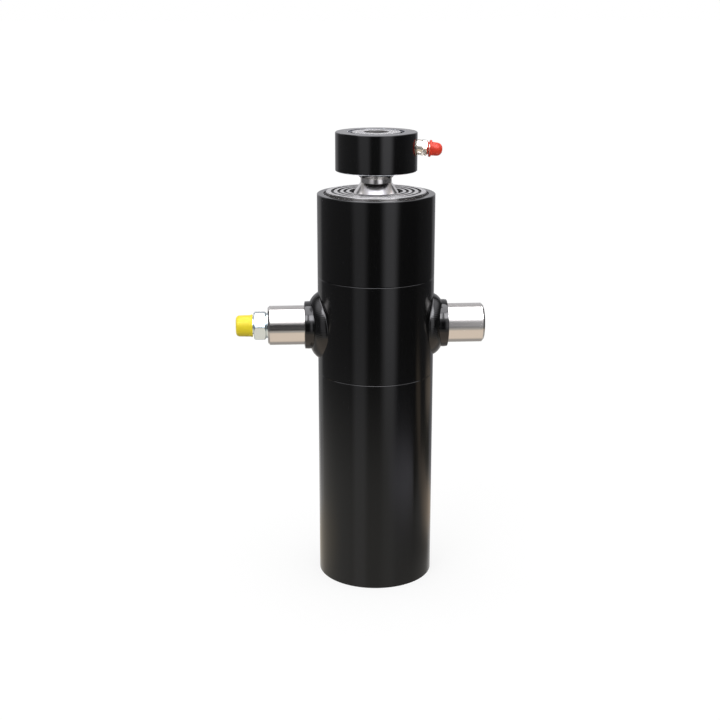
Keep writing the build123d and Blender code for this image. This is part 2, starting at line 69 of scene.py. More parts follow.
barrel_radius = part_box("lower_barrel_tube")[1].x
bore_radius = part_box("barrel_wiper")[1].x + 0.0002
rim_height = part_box("upper_barrel_tube")[1].z
trunnion_height = (pin_low.z + pin_high.z) / 2
shoulder_radius = (pin_high.z - pin_low.z) / 2
trunnion_reach = pin_high.x
stage_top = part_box("stage_1_tube")[1].z
stud_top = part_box("ball_stud")[1].z
head_radius = head_high.x
thrust_cap_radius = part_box("thrust_cap")[1].x
inlet_axis = Vector(joints["inlet_cap_pull"]["axis"])
nipple_axis = Vector(joints["nipple_cap_pull"]["axis"]).normalized()


# Sizes and colours that a user would change


class FinishSettings(bpy.types.PropertyGroup):
    """Colours of the cylinder's finishes."""

    paint: FloatVectorProperty(
        name="Paint", description="Colour of the barrel and head paint",
        default=(0.0021, 0.0021, 0.0022), subtype="COLOR", size=3, min=0, max=1,
    )
    turned_steel: FloatVectorProperty(
        name="Turned steel", description="Colour of the journals and faces left bare",
        default=(0.64, 0.62, 0.595), subtype="COLOR", size=3, min=0, max=1,
    )
    polished_steel: FloatVectorProperty(
        name="Polished steel", description="Colour of the stages and the ball stud",
        default=(0.74, 0.73, 0.715), subtype="COLOR", size=3, min=0, max=1,
    )
    zinc: FloatVectorProperty(
        name="Zinc", description="Colour of the plated fittings",
        default=(0.66, 0.76, 0.80), subtype="COLOR", size=3, min=0, max=1,
    )
    yellow: FloatVectorProperty(
        name="Yellow cap", description="Colour of the inlet's cap",
        default=(1.0, 0.80, 0.022), subtype="COLOR", size=3, min=0, max=1,
    )
    red: FloatVectorProperty(
        name="Red cap", description="Colour of the grease nipple's cap",
        default=(0.86, 0.045, 0.013), subtype="COLOR", size=3, min=0, max=1,
    )
    nickel: FloatVectorProperty(
        name="Nickel", description="Colour of the grease nipple",
        default=(0.74, 0.70, 0.62), subtype="COLOR", size=3, min=0, max=1,
    )
    # Near white, brighter than the turned steel: painted light, so the stud's flare shows a bright
    # reflection of the head's underside
    underside_painted_light: FloatVectorProperty(
        name="Underside", description="Colour of the head's faces left bare",
        default=(0.92, 0.94, 1.0), subtype="COLOR", size=3, min=0, max=1,
    )
    oxide: FloatVectorProperty(
        name="Black oxide", description="Colour of the circlip and the other steel rings",
        default=(0.05, 0.05, 0.054), subtype="COLOR", size=3, min=0, max=1,
    )
    bronze: FloatVectorProperty(
        name="Bronze", description="Colour of the guide rings and gland bearings",
        default=(0.55, 0.38, 0.18), subtype="COLOR", size=3, min=0, max=1,
    )
    rubber: FloatVectorProperty(
        name="Rubber", description="Colour of the seals and wipers",
        default=(0.012, 0.012, 0.013), subtype="COLOR", size=3, min=0, max=1,
    )


class WeldSettings(bpy.types.PropertyGroup):
    """Shape of the two beads round the trunnions."""

    bulge: FloatProperty(
        name="Bulge", description="How far the bead stands proud of a straight fillet",
        default=0.0016, unit="LENGTH", precision=4,
    )
    wander: FloatProperty(
        name="Wander", description="How far the bead's toe wanders in and out",
        default=0.0005, unit="LENGTH", precision=4,
    )
    ripple: FloatProperty(
        name="Ripple", description="Height of the ripples along the bead",
        default=0.00011, unit="LENGTH", precision=5,
    )
    ripples: IntProperty(
        name="Ripples", description="Number of ripples once round the bead", default=88,
    )


class InletSettings(bpy.types.PropertyGroup):
    """Sizes of the inlet adapter and its cap."""

    washer: FloatProperty(
        name="Washer", description="Thickness of the sealing washer",
        default=0.002, unit="LENGTH", precision=4,
    )
    flats: FloatProperty(
        name="Across flats", description="Width of the adapter's hexagon",
        default=0.034, unit="LENGTH", precision=4,
    )
    turn: FloatProperty(
        name="Hexagon turn", description="How far the hexagon's front corner stands above level",
        default=math.radians(7), subtype="ANGLE", unit="ROTATION",
    )
    hex_height: FloatProperty(
        name="Hexagon height", description="Length of the hexagon along its axis",
        default=0.016, unit="LENGTH", precision=4,
    )
    stub_radius: FloatProperty(
        name="Stub radius", description="Radius over the thread of the free end",
        default=0.012, unit="LENGTH", precision=4,
    )
    bore_radius: FloatProperty(
        name="Bore radius", description="Radius of the oil way",
        default=0.0075, unit="LENGTH", precision=4,
    )
    cap_wall: FloatProperty(
        name="Cap wall", description="Wall of the yellow cap",
        default=0.0016, unit="LENGTH", precision=4,
    )
    cap_taper: FloatProperty(
        name="Cap taper", description="Draft of the yellow cap's side",
        default=math.radians(1.5), subtype="ANGLE", unit="ROTATION",
    )


class GreaseSettings(bpy.types.PropertyGroup):
    """Sizes of the grease nipple and its cap."""

    below_top: FloatProperty(
        name="Below top", description="Depth of the nipple below the head's top face",
        default=0.0193, unit="LENGTH", precision=4,
    )
    collar_radius: FloatProperty(
        name="Collar radius", description="Radius of the nipple's seating collar",
        default=0.0095, unit="LENGTH", precision=4,
    )
    flats: FloatProperty(
        name="Across flats", description="Width of the nipple's hexagon",
        default=0.019, unit="LENGTH", precision=4,
    )
    face_radius: FloatProperty(
        name="Face radius", description="Radius of the hexagon's round end face",
        default=0.00725, unit="LENGTH", precision=5,
    )
    cap_radius: FloatProperty(
        name="Cap radius", description="Radius of the red cap behind its rim",
        default=0.00845, unit="LENGTH", precision=5,
    )
    cap_flange_radius: FloatProperty(
        name="Cap flange radius", description="Radius of the red cap's rim",
        default=0.0105, unit="LENGTH", precision=4,
    )
    cap_length: FloatProperty(
        name="Cap length", description="Length of the red cap along its axis",
        default=0.0164, unit="LENGTH", precision=4,
    )


class StudioSettings(bpy.types.PropertyGroup):
    """Camera and studio."""

    distance: FloatProperty(
        name="Camera distance", description="From the cylinder's axis to the camera, level",
        default=1.566161, unit="LENGTH", precision=4,
    )
    height: FloatProperty(
        name="Camera height", description="Height of the camera above the floor",
        default=0.739386, unit="LENGTH", precision=4,
    )
    azimuth: FloatProperty(
        name="Camera azimuth", description="How far the camera stands round to the inlet's side",
        default=math.radians(4.469), subtype="ANGLE", unit="ROTATION",
    )
    pitch: FloatProperty(
        name="Camera pitch", description="How far the camera looks down",
        default=math.radians(15.153), subtype="ANGLE", unit="ROTATION",
    )
    yaw: FloatProperty(
        name="Camera yaw", description="How far the camera looks past the axis",
        default=math.radians(0.737), subtype="ANGLE", unit="ROTATION",
    )
    lens: FloatProperty(
        name="Lens", description="Focal length in millimetres on a 36 mm sensor", default=63.016,
    )
    crop: FloatProperty(
        name="Crop", description="How far the middle lies below the lens's axis, in picture widths",
        default=0.03, precision=3,
    )


# Shader maths


class Value:
    """A shader socket on which Python's operators add Math nodes."""

    def __init__(self, graph, socket):
        self.graph = graph
        self.socket = socket

    def __add__(self, other):
        return self.graph.maths("ADD", self, other)

    def __sub__(self, other):
        return self.graph.maths("SUBTRACT", self, other)

    def __rsub__(self, other):
        return self.graph.maths("SUBTRACT", other, self)

    def __mul__(self, other):
        return self.graph.maths("MULTIPLY", self, other)

    def __truediv__(self, other):
        return self.graph.maths("DIVIDE", self, other)

    def __pow__(self, other):
        return self.graph.maths("POWER", self, other)

    def __gt__(self, other):
        return self.graph.maths("GREATER_THAN", self, other)

    def __lt__(self, other):
        return self.graph.maths("LESS_THAN", self, other)

    __radd__ = __add__
    __rmul__ = __mul__


class Graph:
    """The node tree of one material or world."""

    def __init__(self, tree):
        self.tree = tree
        tree.nodes.clear()

    def add(self, kind, settings=None, inputs=None, output=0):
        """Add a node, set it up, feed its sockets and return one of its outputs."""
        node = self.tree.nodes.new(kind)
        for name, setting in (settings or {}).items():
            setattr(node, name, setting)
        for name, value in (inputs or {}).items():
            if isinstance(value, Value):
                self.tree.links.new(value.socket, node.inputs[name])
            else:
                node.inputs[name].default_value = value
        return Value(self, node.outputs[output]) if len(node.outputs) else None

    def maths(self, operation, *values):
        return self.add("ShaderNodeMath", {"operation": operation}, dict(enumerate(values)))

    def mix(self, factor, first, second):
        """Mix two colours."""
        settings = {"data_type": "RGBA", "clamp_factor": True}
        return self.add("ShaderNodeMix", settings, {0: factor, 6: opaque(first), 7: opaque(second)}, 2)

    def rise(self, value, low, high):
        """0 below low, 1 above high, and a soft step between them."""
        settings = {"interpolation_type": "SMOOTHSTEP"}
        inputs = {"Value": value, "From Min": low, "From Max": high, "To Min": 0, "To Max": 1}
        return self.add("ShaderNodeMapRange", settings, inputs)

    def band(self, value, low, high, soft):
        """1 between low and high, fading to 0 over a soft edge outside them."""
        return self.rise(value, low - soft, low) * (1 - self.rise(value, high, high + soft))

    def place(self):
        """X, Y and Z of the point, from its Object coordinates."""
        where = self.add("ShaderNodeTexCoord", output="Object")
        split = self.add("ShaderNodeSeparateXYZ", inputs={0: where}).socket.node
        return [Value(self, socket) for socket in split.outputs]

    def noise(self, along, scale, detail=2):
        """Noise of one coordinate."""
        settings = {"noise_dimensions": "1D"}
        return self.add("ShaderNodeTexNoise", settings, {"W": along, "Scale": scale, "Detail": detail})

    def grain(self, scale, detail=3):
        """Noise in all directions."""
        where = self.add("ShaderNodeTexCoord", output="Object")
        return self.add("ShaderNodeTexNoise", None, {"Vector": where, "Scale": scale, "Detail": detail})

    def bump(self, height, distance, strength=1.0):
        inputs = {"Height": height, "Distance": distance, "Strength": strength}
        return self.add("ShaderNodeBump", None, inputs)


def opaque(colour):
    """A colour with its alpha, where it is a plain tuple."""
    return colour if isinstance(colour, Value) else (*tuple(colour)[:3], 1.0)


def surface(graph, inputs):
    """Finish a material with a Principled shader."""
    shader = graph.add("ShaderNodeBsdfPrincipled", None, inputs)
    graph.add("ShaderNodeOutputMaterial", None, {"Surface": shader})


def new_material(name):
    material = bpy.data.materials.new(name)
    material.use_nodes = True
    return material, Graph(material.node_tree)


def from_axis(graph, across, up):
    """Distance from an axis, from the two coordinates across it."""
    return (across * across + up * up) ** 0.5


# Finishes


TURNING = 5200.0  # turning marks, as noise scale per metre
PEEL = 420.0  # orange peel, as noise scale per metre
PEEL_DEPTH = 0.00002
PAINT_GLOSS = 0.12
PAINT_IOR = 1.5
PAINTED_SHADE_AT_TOP_EDGE = (0.14, 0.14, 0.14)  # painted shade: a dark band just under the stages' top edges, for the gaps between them
PAINTED_SHADE_ON_BALL_TOP = (0.010, 0.009, 0.008)  # painted shade: a dark matt colour on top of the ball, for the shade in the thrust cap's hole


def paint_material(colour, name="semi_gloss_black_paint", gloss=PAINT_GLOSS):
    """Black paint with a faint orange peel."""
    material, graph = new_material(name)
    peel = graph.grain(PEEL, 2)
    cloud = graph.grain(9.0, 2)
    surface(graph, {
        "Base Color": opaque(colour),
        "Roughness": gloss - 0.02 + 0.05 * cloud,
        "IOR": PAINT_IOR,
        "Normal": graph.bump(peel, PEEL_DEPTH, 0.5),
    })
    return material


def turned_material(name, colour, gloss, mark_depth=0.000004, shaded_edge_at=None, shade_from=None):
    """Steel turned about the cylinder's axis, with painted shade at its top: a dark band under its
    edge, or a dark matt top.
    """
    material, graph = new_material(name)
    x, y, z = graph.place()
    run = z + from_axis(graph, x, y)
    marks = graph.noise(run, TURNING, 3)
    cloud = graph.grain(30.0, 2)
    # A dark band just under the top edge: painted shade for the gaps between the stages
    if shaded_edge_at:
        painted_edge_shade = graph.band(z, shaded_edge_at - 0.0008, shaded_edge_at - 0.0001, 0.00005)
        colour = graph.mix(painted_edge_shade, colour, PAINTED_SHADE_AT_TOP_EDGE)
    metal = 1.0
    roughness = gloss + 0.06 * (cloud - 0.5) + 0.05 * (marks - 0.5)
    # Above this height the steel is painted dark, matt and not metal: painted shade in the hole over
    # the ball
    if shade_from:
        grease = graph.rise(z, shade_from, shade_from + 0.0002)
        colour = graph.mix(grease, colour, PAINTED_SHADE_ON_BALL_TOP)
        metal = 1 - grease
        roughness = roughness + 0.7 * grease
    surface(graph, {
        "Base Color": opaque(colour),
        "Metallic": metal,
        "Roughness": roughness,
        "Normal": graph.bump(marks, mark_depth, 1.0),
    })
    return material


def part_painted_material(name, paint, steel, bare, gloss, turned_about="Z"):
    """Paint, with bare turned steel where bare(graph, x, y, z) gives 1."""
    material, graph = new_material(name)
    x, y, z = graph.place()
    if turned_about == "X":
        run = x + from_axis(graph, y, z - trunnion_height)
    else:
        run = z + from_axis(graph, x, y)
    marks = graph.noise(run, TURNING, 3)
    peel = graph.grain(PEEL, 2)
    shown = bare(graph, x, y, z)
    surface(graph, {
        "Base Color": graph.mix(shown, paint, steel),
        "Metallic": shown,
        "Roughness": PAINT_GLOSS + (gloss - PAINT_GLOSS) * shown + 0.05 * (marks - 0.5),
        "IOR": PAINT_IOR,
        "Normal": graph.bump(marks * shown * 0.2 + peel * (1 - shown), PEEL_DEPTH, 0.5),
    })
    return material


def plain_material(name, colour, roughness, metallic=0.0, bump_scale=300.0, bump=0.00001):
    material, graph = new_material(name)
    grain = graph.grain(bump_scale, 3)
    surface(graph, {
        "Base Color": opaque(colour),
        "Metallic": metallic,
        "Roughness": roughness + 0.08 * (grain - 0.5),
        "Normal": graph.bump(grain, bump, 0.6),
    })
    return material


# Shapes


SMOOTH_ANGLE = math.radians(38)


def finish_piece(bm, name, body, materials, replaced=(), angle=SMOOTH_ANGLE):
    """Make a closed bmesh a finished piece that rides on a body."""
    bmesh.ops.remove_doubles(bm, verts=bm.verts, dist=0.000002)
    bmesh.ops.recalc_face_normals(bm, faces=bm.faces)
    mesh = bpy.data.meshes.new(name)
    bm.to_mesh(mesh)
    bm.free()
    for material in materials:
        mesh.materials.append(material)
    mesh.shade_smooth()
    mesh.set_sharp_from_angle(angle=angle)
    piece = bpy.data.objects.new(name, mesh)
    bpy.context.scene.collection.objects.link(piece)
    even = piece.modifiers.new("Even shading", "WEIGHTED_NORMAL")
    even.keep_sharp = True
    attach(piece, body)
    if replaced:
        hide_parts(*replaced)
    return piece


def turned_shape(outline, segments=96, closed=True):
    """Spin an outline of (radius, height, rounding) corners about Z."""
    bm = bmesh.new()
    corners = [bm.verts.new((radius, 0, height)) for radius, height, _ in outline]
    for first, second in zip(corners, corners[1:]):
        bm.edges.new((first, second))
    if closed:
        bm.edges.new((corners[-1], corners[0]))
    for corner, (_, _, rounding) in zip(corners, outline):
        if rounding:
            bmesh.ops.bevel(
                bm, geom=[corner], offset=rounding, segments=4, profile=0.5,
                affect="VERTICES", material=-1,
            )
    bmesh.ops.spin(
        bm, geom=bm.edges[:], cent=(0, 0, 0), axis=(0, 0, 1),
        angle=math.tau, steps=segments, use_merge=True,
    )
    bmesh.ops.remove_doubles(bm, verts=bm.verts, dist=0.000002)
    return bm


def stand_on(bm, origin, direction):
    """Turn a shape made about Z so that it stands on a point, along a direction."""
    turn = Vector(direction).to_track_quat("Z", "Y").to_matrix().to_4x4()
    bmesh.ops.transform(bm, matrix=Matrix.Translation(origin) @ turn, verts=bm.verts)


def six_sided(bm, flats, low, high, edge_round=0.0003):
    """Press a turned shape into a hexagon between two heights, with corners on its X axis."""
    corner = flats / 2 / math.cos(math.radians(30)) - edge_round
    for vert in bm.verts:
        if low <= vert.co.z <= high:
            radius = math.hypot(vert.co.x, vert.co.y)
            angle = math.degrees(math.atan2(vert.co.y, vert.co.x)) % 60 - 30
            limit = min(flats / 2 / math.cos(math.radians(angle)), corner)
            if radius > limit:
                vert.co.x *= limit / radius
                vert.co.y *= limit / radius


def hexagon_chamfer(flats, face, end, slope, rows=8):
    """Rings from a hexagon's round end face to its corners, for six_sided to cut."""
    corner = flats / 2 / math.cos(math.radians(30))
    steps = [(corner - face) * row / rows for row in range(rows + 1)]
    return [(face + step, end + slope * step, 0) for step in steps]


def thread_outline(radius, low, high, pitch):
    """Ridges of a thread, as a row of rings."""
    depth = 0.6 * pitch
    count = int((high - low) / pitch)
    points = []
    for ridge in range(count):
        foot = low + ridge * pitch
        points.append((radius - depth, foot, 0))
        points.append((radius, foot + 0.42 * pitch, 0))
        points.append((radius, foot + 0.58 * pitch, 0))
    points.append((radius - depth, low + count * pitch, 0))
    return points


# Operators, one for each group of pieces


def paint_over(name, material):
    """Give a CAD node another material."""
    mesh = nodes[name].data
    mesh.materials.clear()
    mesh.materials.append(material)


def shared(name, make):
    """A material that several operators use, made once."""
    return bpy.data.materials.get(name) or make()


def black_paint():
    finish = bpy.context.scene.cylinder_finish
    return shared("semi_gloss_black_paint", lambda: paint_material(finish.paint))


def thick_black_paint():
    """Paint that has pooled glossy over the welds and shoulders."""
    name = "thick_glossy_black_paint"
    finish = bpy.context.scene.cylinder_finish
    return shared(name, lambda: paint_material(finish.paint, name, 0.1))


# Black oxide for the rings and the circlip, and painted shade on the ball seat halves
def blackened_steel_and_painted_shade():
    name = "blackened_spring_steel_and_painted_shade"
    finish = bpy.context.scene.cylinder_finish
    return shared(name, lambda: plain_material(name, finish.oxide, 0.35, 0.9))


class CYLINDER_OT_barrel(bpy.types.Operator):
    """Paint the barrel and leave its gland bore bare"""

    bl_idname = "cylinder.barrel"
    bl_label = "Barrel"

    def execute(self, context):
        finish = context.scene.cylinder_finish
        paint = black_paint()
        bare_depth = 0.1
        for name in ("base_plate", "lower_barrel_tube", "trunnion_ring"):
            paint_over(name, paint)

        def bare(graph, x, y, z):
            inside = from_axis(graph, x, y) < bore_radius
            return inside * (z > rim_height - bare_depth)

        rim = part_painted_material(
            "paint_with_bare_bore", finish.paint, finish.turned_steel, bare, 0.3,
        )
        paint_over("upper_barrel_tube", rim)
        return {"FINISHED"}


class CYLINDER_OT_trunnions(bpy.types.Operator):
    """Finish the trunnion pins and lay the weld beads round them"""

    bl_idname = "cylinder.trunnions"
    bl_label = "Trunnions"

    def execute(self, context):
        finish = context.scene.cylinder_finish
        bare_radius = 0.0256
        shoulder_end = 0.0914
        ragged = 0.0012

        def bare(graph, x, y, z):
            radius = from_axis(graph, y, z - trunnion_height)
            past = graph.maths("ABSOLUTE", x) - graph.grain(90.0, 2) * ragged
            journal = graph.rise(past, shoulder_end - 0.0006, shoulder_end - 0.0002)
            return journal * (radius < bare_radius)

        pins = part_painted_material(
            "paint_with_bare_journal", finish.paint, finish.turned_steel, bare, 0.15, "X",
        )
        for side in ("left", "right"):
            paint_over(f"trunnion_{side}", pins)
            self.bead(context, side)
            self.collar(side)
        return {"FINISHED"}

    def collar(self, side):
        """The shoulder's rounded coat of paint, from under the bead to near its end."""
        low = 0.0775
        high = 0.0908
        crown = 0.0862
        reach = 0.0046
        rise = 0.0004
        inner = shoulder_radius - 0.0005
        outer = shoulder_radius + 0.00005
        outline = [(inner, low, 0), (outer, low, 0)]
        rows = 12
        for row in range(rows + 1):
            along = 2 * row / rows - 1
            outline.append((outer + rise * (1 - along**2), crown + along * reach, 0))
        outline.append((inner, high, 0))
        bm = turned_shape(outline, 120)
        sign = -1 if side == "left" else 1
        stand_on(bm, Vector((0, 0, trunnion_height)), Vector((sign, 0, 0)))
        name = f"shoulder_paint_{side}"
        finish_piece(bm, name, "barrel", [thick_black_paint()])

    def bead(self, context, side):
        """One saddle-shaped bead between the barrel and a trunnion's shoulder."""
        weld = context.scene.cylinder_weld
        sign = -1 if side == "left" else 1
        leg_top = 0.0098
        leg_front = 0.0115
        toe_top = 0.0425 if side == "left" else 0.0397
        toe_front = 0.0388 if side == "left" else 0.0362
        toe_drop = 0.0008
        root = 0.0006
        rows = 24
        back_rows = 8
        around = 264
        phase = 0.7 if side == "left" else 2.1

        def surface_x(radius, turn):
            return math.sqrt(barrel_radius**2 - (radius * math.sin(turn)) ** 2)

        def place(turn, step):
            """A point round the bead: over its face from 0 to 1, then back under it to 2."""
            wander = weld.wander * (
                math.sin(3 * turn + phase) + 0.6 * math.sin(7 * turn + 2 * phase)
            )
            leg = leg_front + (leg_top - leg_front) * math.cos(turn) ** 2
            toe = toe_front + (toe_top - toe_front) * math.cos(turn) ** 2 - toe_drop * math.cos(turn)
            bulge = weld.bulge * (1 + 0.6 * math.sin(turn) ** 2)
            top = Vector((surface_x(shoulder_radius, turn) + leg + wander, shoulder_radius - root))
            foot = Vector((surface_x(toe + wander, turn) - root, toe + wander))
            if step <= 1:
                chord = foot - top
                outward = Vector((-chord.y, chord.x)).normalized()
                if outward.y < 0:
                    outward = -outward
                swell = math.sin(math.pi * step) ** 0.6 if 0 < step < 1 else 0
                ripple = weld.ripple * math.sin(weld.ripples * turn + 1.5 * math.sin(math.pi * step))
                section = top + chord * step + outward * swell * (bulge + ripple)
            else:
                inner = Vector((surface_x(shoulder_radius, turn) - 2 * root, shoulder_radius - root))
                back = (step - 1) * 2
                section = foot.lerp(inner, back) if back <= 1 else inner.lerp(top, back - 1)
            x, radius = section
            return Vector((
                sign * x,
                radius * math.sin(turn),
                trunnion_height + radius * math.cos(turn),
            ))

        bm = bmesh.new()
        all_rows = rows + back_rows
        bmesh.ops.create_grid(bm, x_segments=around, y_segments=all_rows, size=0.5)
        for vert in bm.verts:
            row = (vert.co.y + 0.5) * all_rows
            step = row / rows if row <= rows else 1 + (row - rows) / back_rows
            vert.co = place((vert.co.x + 0.5) * math.tau, step)
        finish_piece(
            bm, f"weld_bead_{side}", "barrel", [thick_black_paint()],
            [f"trunnion_weld_{side}"], math.radians(60),
        )


class CYLINDER_OT_inlet(bpy.types.Operator):
    """Build the inlet adapter and the yellow cap, and plate the washer"""

    bl_idname = "cylinder.inlet"
    bl_label = "Oil inlet"

    def execute(self, context):
        finish = context.scene.cylinder_finish
        inlet = context.scene.cylinder_inlet
        origin = Vector((-trunnion_reach, 0, trunnion_height))
        zinc = plain_material("bright_zinc", finish.zinc, 0.2, 1.0, 240.0, 0.000006)
        paint_over("adapter_washer", zinc)

        hex_low = inlet.washer
        hex_high = hex_low + inlet.hex_height
        stub_end = -adapter_low.x - trunnion_reach
        socket_end = trunnion_reach + adapter_high.x
        core = inlet.stub_radius - 0.0011
        thread_low = hex_high + 0.0016
        thread_high = stub_end - 0.0018
        pitch = 0.0015
        ridges = thread_outline(inlet.stub_radius, thread_low, thread_high, pitch)
        cone_mouth = inlet.bore_radius + 0.002
        cone_depth = 0.006
        face = 0.94 * inlet.flats / 2
        slope = math.tan(math.radians(35))
        outline = (
            [(inlet.bore_radius, -socket_end, 0), (inlet.stub_radius, -socket_end, 0.0006)]
            + [(inlet.stub_radius, hex_low, 0)]
            + hexagon_chamfer(inlet.flats, face, hex_low, slope)
            + hexagon_chamfer(inlet.flats, face, hex_high, -slope)[::-1]
            + [(core + 0.0004, hex_high, 0.0002), (core, hex_high + 0.0008, 0.0002)]
            + ridges
            + [(core, stub_end - 0.0006, 0), (core - 0.0006, stub_end, 0.0002)]
            + [(cone_mouth, stub_end, 0.0003), (inlet.bore_radius, stub_end - cone_depth, 0)]
        )
        bm = turned_shape(outline, 120)
        six_sided(bm, inlet.flats, hex_low, hex_high)
        bmesh.ops.rotate(
            bm, verts=bm.verts, cent=(0, 0, 0), matrix=Matrix.Rotation(inlet.turn, 3, "Z")
        )
        stand_on(bm, origin, inlet_axis)
        finish_piece(
            bm, "inlet_adapter_turned", "barrel", [zinc],
            ["inlet_adapter"], math.radians(24),
        )

        yellow = plain_material("soft_yellow_plastic", finish.yellow, 0.36, 0.0, 500.0, 0.00002)
        mouth = -inlet_cap_high.x - trunnion_reach
        end = -inlet_cap_low.x - trunnion_reach
        flange_radius = (inlet_cap_high.z - inlet_cap_low.z) / 2
        flange_width = 0.002
        play = 0.0003
        inner = inlet.stub_radius + play
        outer = inner + inlet.cap_wall
        draft = math.tan(inlet.cap_taper)
        outline = [
            (0, end, 0),
            (outer - (end - mouth) * draft, end, 0.0044),
            (outer - flange_width * draft, mouth + flange_width, 0.0002),
            (flange_radius, mouth + flange_width, 0.0004),
            (flange_radius, mouth, 0.0004),
            (inner, mouth, 0.0003),
            (inner, stub_end + play, 0.0005),
            (0, stub_end + play, 0),
        ]
        bm = turned_shape(outline, 96, closed=False)
        stand_on(bm, origin, inlet_axis)
        cap = finish_piece(bm, "yellow_cap", "inlet_cap", [yellow], ["inlet_cap"])
        cap.visible_glossy = False
        return {"FINISHED"}


class CYLINDER_OT_stages(bpy.types.Operator):
    """Finish the telescopic stages, the plunger and their rings"""

    bl_idname = "cylinder.stages"
    bl_label = "Stages"

    def execute(self, context):
        finish = context.scene.cylinder_finish
        # The stage tubes get a dark band under their tops, painted shade for the gaps between the rings
        polished = turned_material(
            "ground_steel", finish.polished_steel, 0.2, 0.0000015, shaded_edge_at=stage_top,
        )
        rubber = plain_material("seal_rubber", finish.rubber, 0.5, 0.0, 800.0)
        bronze = plain_material("bearing_bronze", finish.bronze, 0.32, 1.0)
        oxide = blackened_steel_and_painted_shade()
        endings = {
            "_tube": polished,
            "_rod_seal": rubber,
            "_wiper": rubber,
            "_gland_bearing": bronze,
            "_guide_ring": bronze,
            "_stop_ring": oxide,
            "_foot_ring": oxide,
        }
        for name in nodes:
            if name.startswith(("stage_", "plunger_", "barrel_")):
                for ending, material in endings.items():
                    if name.endswith(ending):
                        paint_over(name, material)
        paint_over("plunger_foot_plug", polished)
        return {"FINISHED"}


class CYLINDER_OT_stud(bpy.types.Operator):
    """Finish the ball stud"""

    bl_idname = "cylinder.stud"
    bl_label = "Ball stud"

    def execute(self, context):
        finish = context.scene.cylinder_finish
        # The ball's top is painted dark and matt: painted shade in the thrust cap's hole
        shade_depth = 0.004
        stud = turned_material(
            "polished_stud", finish.polished_steel, 0.16, 0.000002,
            shade_from=stud_top - shade_depth,
        )
        paint_over("ball_stud", stud)
        return {"FINISHED"}


class CYLINDER_OT_head(bpy.types.Operator):
    """Finish the head with its thrust cap and circlip"""

    bl_idname = "cylinder.head"
    bl_label = "Head"

    def execute(self, context):
        finish = context.scene.cylinder_finish
        bare_from = 0.0365
        bare_depth = 0.012

        # The outer underside is bare and near white, painted light for the stud's reflection; the inner
        # underside and the cavity below the top stay black paint, painted shade
        def bare(graph, x, y, z):
            radius = from_axis(graph, x, y)
            under = 1 - graph.rise(z, head_low.z + 0.0005, head_low.z + 0.0007)
            inside = (radius < thrust_cap_radius + 0.0003) * (z > head_high.z - bare_depth)
            return graph.maths("MAXIMUM", under * (radius > bare_from), inside)

        housing = part_painted_material(
            "paint_with_bare_underside_and_painted_light", finish.paint, finish.underside_painted_light, bare, 0.3,
        )
        paint_over("socket_housing", housing)
        cap = turned_material("turned_thrust_cap", finish.polished_steel, 0.24, 0.000006)
        paint_over("thrust_cap", cap)
        # The ball seat halves are darkened as painted shade inside the head's mouth; the circlip is
        # black oxide
        paint_over("ball_seat_halves", blackened_steel_and_painted_shade())
        paint_over("circlip", blackened_steel_and_painted_shade())
        return {"FINISHED"}


class CYLINDER_OT_grease_point(bpy.types.Operator):
    """Build the grease nipple and the red cap"""

    bl_idname = "cylinder.grease_point"
    bl_label = "Grease point"

    def execute(self, context):
        finish = context.scene.cylinder_finish
        grease = context.scene.cylinder_grease
        origin = Vector((head_radius, 0, head_high.z - grease.below_top))
        screw_radius = 0.005
        screw_end = -0.0134
        way_radius = 0.002
        collar_low = -0.0024
        collar_high = collar_low + 0.0074
        hex_low = collar_high + 0.0003
        hex_high = collar_high + 0.0086
        neck_radius = 0.006
        button_radius = 0.0065
        button_low = hex_high + 0.003
        button_high = button_low + 0.005
        outline = (
            [(way_radius, screw_end, 0), (screw_radius, screw_end, 0.0004)]
            + [(screw_radius, collar_low, 0)]
            + [(grease.collar_radius, collar_low, 0.0004)]
            + [(grease.collar_radius, collar_high, 0.0006)]
            + [(grease.flats / 2 - 0.0008, collar_high + 0.0002, 0)]
            + hexagon_chamfer(grease.flats, grease.flats / 2 - 0.0002, hex_low, 0.4, 4)
            + hexagon_chamfer(grease.flats, grease.face_radius, hex_high, -1)[::-1]
            + [(neck_radius, hex_high, 0.0003), (neck_radius, button_low, 0.0003)]
            + [(button_radius, button_low, 0.0005), (button_radius, button_high, 0.0008)]
            + [(way_radius, button_high, 0.0003)]
        )
        bm = turned_shape(outline, 96)
        six_sided(bm, grease.flats, hex_low, hex_high)
        stand_on(bm, origin, nipple_axis)
        nickel = plain_material("nickel_plate", finish.nickel, 0.18, 1.0, 240.0, 0.000006)
        finish_piece(
            bm, "grease_nipple_turned", "head", [nickel],
            ["grease_nipple"], math.radians(24),
        )

        red = plain_material("soft_red_plastic", finish.red, 0.38, 0.0, 500.0, 0.00002)
        mouth = hex_high + 0.0013
        flange = mouth + 0.0024
        end = mouth + grease.cap_length
        inner = button_radius + 0.0003
        outline = [
            (0, end, 0),
            (grease.cap_radius - 0.0004, end, 0.0068),
            (grease.cap_radius, flange, 0.0004),
            (grease.cap_flange_radius, flange, 0.0006),
            (grease.cap_flange_radius, mouth, 0.0006),
            (inner, mouth, 0.0004),
            (inner, button_high + 0.0003, 0.0004),
            (0, button_high + 0.0003, 0),
        ]
        bm = turned_shape(outline, 96, closed=False)
        stand_on(bm, origin, nipple_axis)
        finish_piece(bm, "red_cap", "nipple_cap", [red], ["nipple_cap"])
        return {"FINISHED"}


